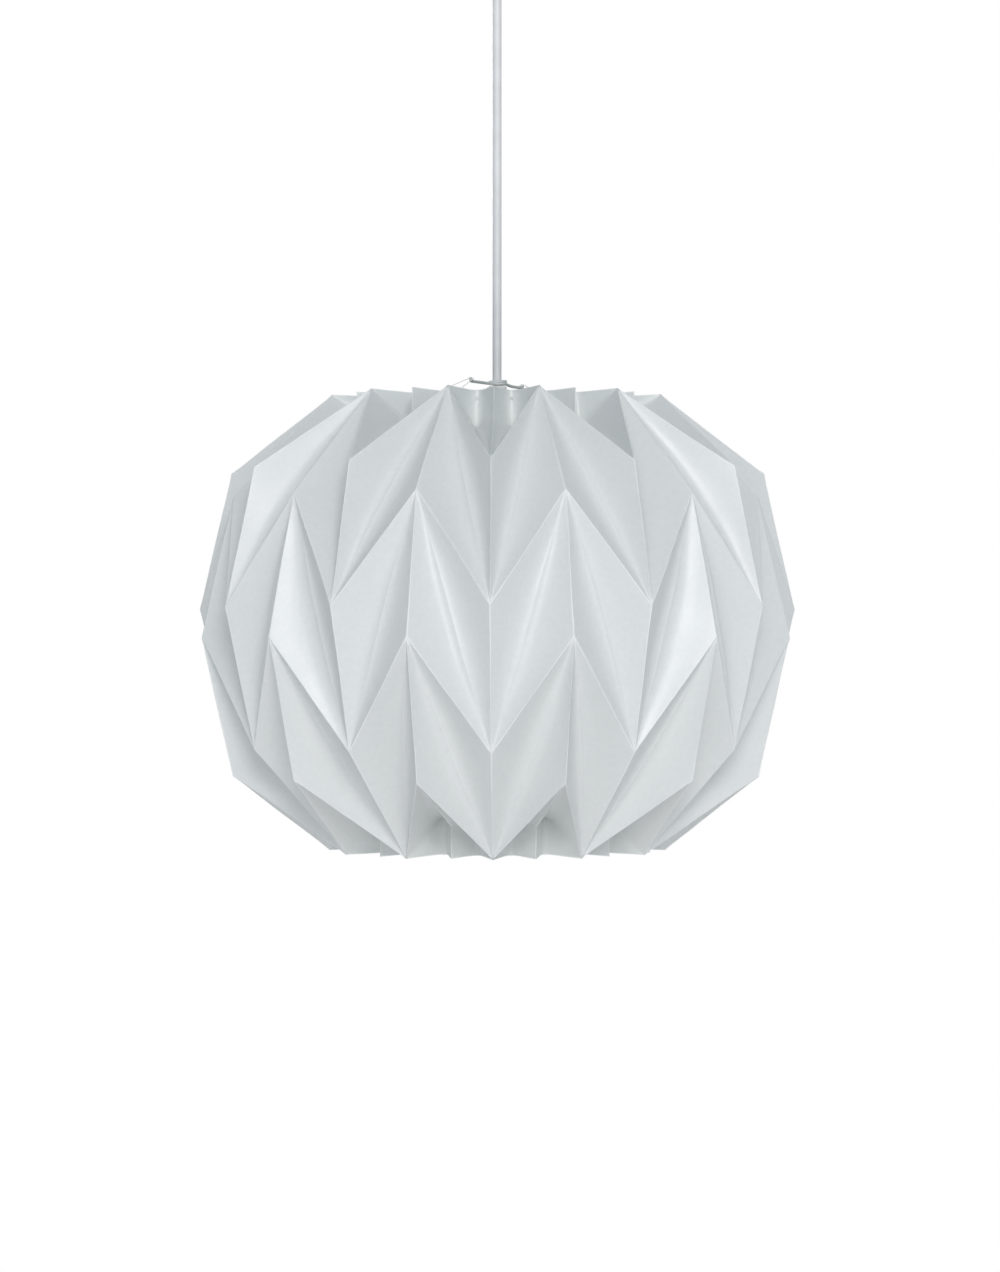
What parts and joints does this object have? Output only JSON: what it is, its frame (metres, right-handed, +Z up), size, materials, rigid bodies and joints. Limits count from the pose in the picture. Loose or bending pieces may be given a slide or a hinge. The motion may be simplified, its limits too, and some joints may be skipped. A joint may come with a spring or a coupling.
{
  "type": "pendant lampshade",
  "caption": "Pleated folded-paper pendant lampshade hanging on a round flex, with lampholder, screw-cap bulb, wire carrier and a ceiling rose it swings from.",
  "frame": {"origin": "centre of the ceiling rose's face, on the ceiling", "axes": "+Z up, out of the ceiling rose's face into the ceiling; a ridge of the shade faces -Y; the ceiling screws lie along X"},
  "size_m": [0.398, 0.398, 0.6282],
  "materials": {
    "paper": "matt coated paper",
    "thread": "twisted",
    "carrier_steel": "drawn wire",
    "flex_sheath": "satin moulded sheath",
    "core_brown": "satin",
    "core_blue": "satin",
    "holder_plastic": "moulded",
    "contact_ceramic": "moulded",
    "brass": "rolled",
    "screw_steel": "zinc plated",
    "bracket_steel": "zinc plated",
    "canopy_paint": "satin powder coat",
    "gland_plastic": "moulded",
    "block_plastic": "moulded",
    "bulb_opal": "frosted glass",
    "bulb_clear": "clear glass",
    "bulb_nickel": "nickel plated",
    "bulb_black": "vitrite",
    "filament": "phosphor coated"
  },
  "bodies": {
    "ceiling_rose": {"ceiling_bracket": "bracket_steel", "terminal_block": "block_plastic", "block_terminals": "brass", "block_screws": "screw_steel", "canopy": "canopy_paint", "canopy_screws": "screw_steel", "cord_gland": "gland_plastic", "gland_nut": "gland_plastic", "flex_tail": "flex_sheath", "tail_core_live": "core_brown", "tail_core_neutral": "core_blue"},
    "bush": {"swing_bush": "gland_plastic"},
    "pendant": {"flex": "flex_sheath", "holder_cap": "holder_plastic", "grip_screw": "screw_steel", "holder_skirt": "holder_plastic", "contact_block": "contact_ceramic", "contact_shell": "brass", "centre_contact": "brass", "holder_screws": "screw_steel", "holder_core_live": "core_brown", "holder_core_neutral": "core_blue"},
    "shade": {"carrier_wire": "carrier_steel", "draw_thread": "thread", "paper_sheet_front": "paper", "paper_sheet_back": "paper"},
    "bulb_feed": {"bulb_tip": "brass"},
    "bulb": {"bulb_insulator": "bulb_black", "bulb_cap": "bulb_nickel", "bulb_glass": "bulb_opal", "bulb_stem": "bulb_clear", "bulb_filaments": "filament"}
  },
  "joints": [
    {"name": "swing_x", "type": "hinge", "parent": "ceiling_rose", "child": "bush", "pos_m": [0, 0, -0.043], "axis": [1, 0, 0], "range_deg": [-12, 12]},
    {"name": "swing_y", "type": "hinge", "parent": "bush", "child": "pendant", "pos_m": [0, 0, -0.043], "axis": [0, 1, 0], "range_deg": [-12, 12]},
    {"name": "shade_turn", "type": "hinge", "parent": "pendant", "child": "shade", "pos_m": [0, 0, -0.318], "axis": [0, 0, 1], "continuous": true},
    {"name": "bulb_travel", "type": "slide", "parent": "pendant", "child": "bulb_feed", "axis": [0, 0, -1], "range_m": [0, 0.0146]},
    {"name": "bulb_turn", "type": "hinge", "parent": "bulb_feed", "child": "bulb", "pos_m": [0, 0, -0.38], "axis": [0, 0, -1], "range_deg": [0, 1440]}
  ],
  "couplings": [
    {"joint": "bulb_travel", "follows": "bulb_turn", "m_per_rad": 0.000576}
  ]
}
